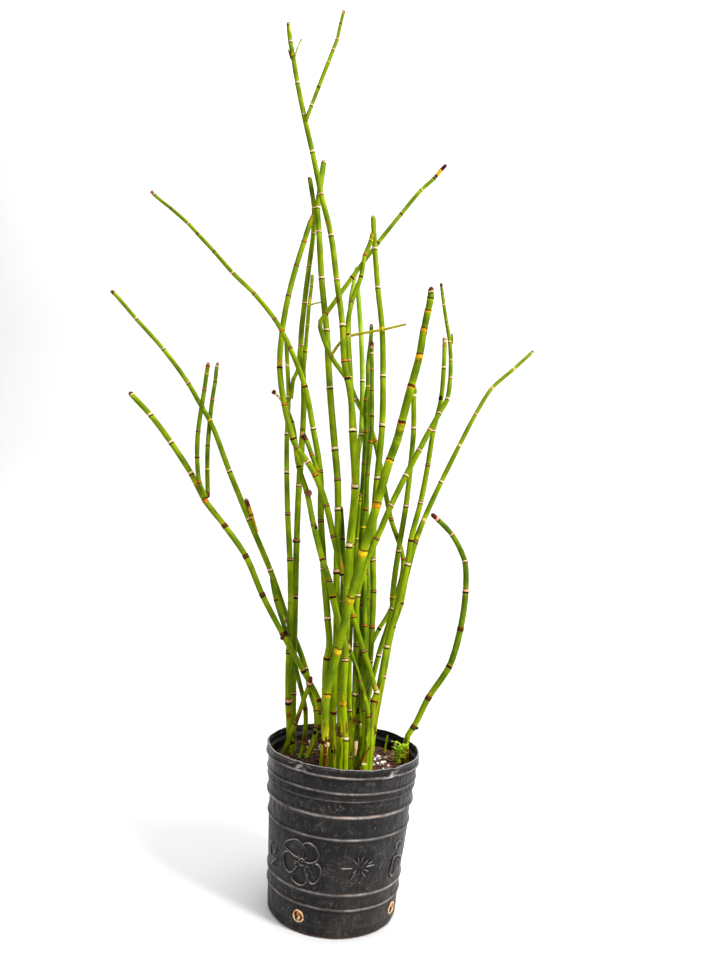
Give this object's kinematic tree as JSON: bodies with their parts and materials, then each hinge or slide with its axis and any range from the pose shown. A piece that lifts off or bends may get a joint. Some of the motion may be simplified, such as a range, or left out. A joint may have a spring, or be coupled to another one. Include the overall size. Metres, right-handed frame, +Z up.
{
  "type": "potted rough horsetail",
  "caption": "Clump of upright jointed rough horsetail stems growing in a ribbed black nursery pot filled with soil.",
  "frame": {"origin": "centre of the pot's flat underside", "axes": "+Z up along the clump, -Y the front with the five-petal flower relief, +X to the right seen from the front"},
  "size_m": [0.5906, 0.2062, 1.1482],
  "materials": {
    "pot_plastic": "matte recycled black plastic, dusty and scratched",
    "soil_mix": "loose brown bark and peat mix with white grains",
    "green_stem": "satin ridged green stem with dark and cream bands at its joints",
    "deep_green_stem": "satin ridged darker green stem",
    "pale_stem": "satin ridged pale green stem",
    "dead_stem": "dry brown dead stem or twig",
    "straw_remains": "dry straw-coloured sheath or stump",
    "seedling_leaf": "thin bright yellow-green leaves"
  },
  "bodies": {
    "root": {"arching_stem": "green_stem", "bent_left_stem": "green_stem", "brown_tip_stem": "green_stem", "budded_stem": "green_stem", "companion_stem": "green_stem", "curved_right_stem": "green_stem", "cut_stump": "straw_remains", "dead_bud_stem": "green_stem", "dead_left_shoot": "deep_green_stem", "dead_middle_stem": "deep_green_stem", "dead_right_stem": "deep_green_stem", "dead_side_shoot": "dead_stem", "dead_side_twig": "dead_stem", "dead_slim_stem": "deep_green_stem", "dead_stalk": "dead_stem", "dry_curl": "straw_remains", "dry_peel": "straw_remains", "far_right_stem": "green_stem", "forked_right_stem": "green_stem", "hidden_stem": "deep_green_stem", "kinked_stem": "green_stem", "leaning_left_stem": "green_stem", "left_top_twig": "dead_stem", "long_left_stem": "green_stem", "long_twig": "green_stem", "low_left_back_fork": "green_stem", "low_left_front_fork": "green_stem", "low_left_stem": "green_stem", "middle_left_stem": "green_stem", "nursery_pot": "pot_plastic", "pale_slim_stem": "pale_stem", "pale_stem": "pale_stem", "pink_twig": "straw_remains", "right_top_twig": "dead_stem", "second_stem": "green_stem", "seedling_clump": "seedling_leaf", "short_back_stem": "deep_green_stem", "short_left_stem": "green_stem", "slender_right_stem": "green_stem", "slim_right_stem": "deep_green_stem", "soil": "soil_mix", "straight_right_stem": "green_stem", "tallest_stem": "green_stem", "tallest_stem_fork": "green_stem", "thick_stem": "green_stem", "thin_sprout": "seedling_leaf", "third_stem": "green_stem", "upright_left_fork": "green_stem", "upright_left_stem": "green_stem"}
  },
  "joints": []
}
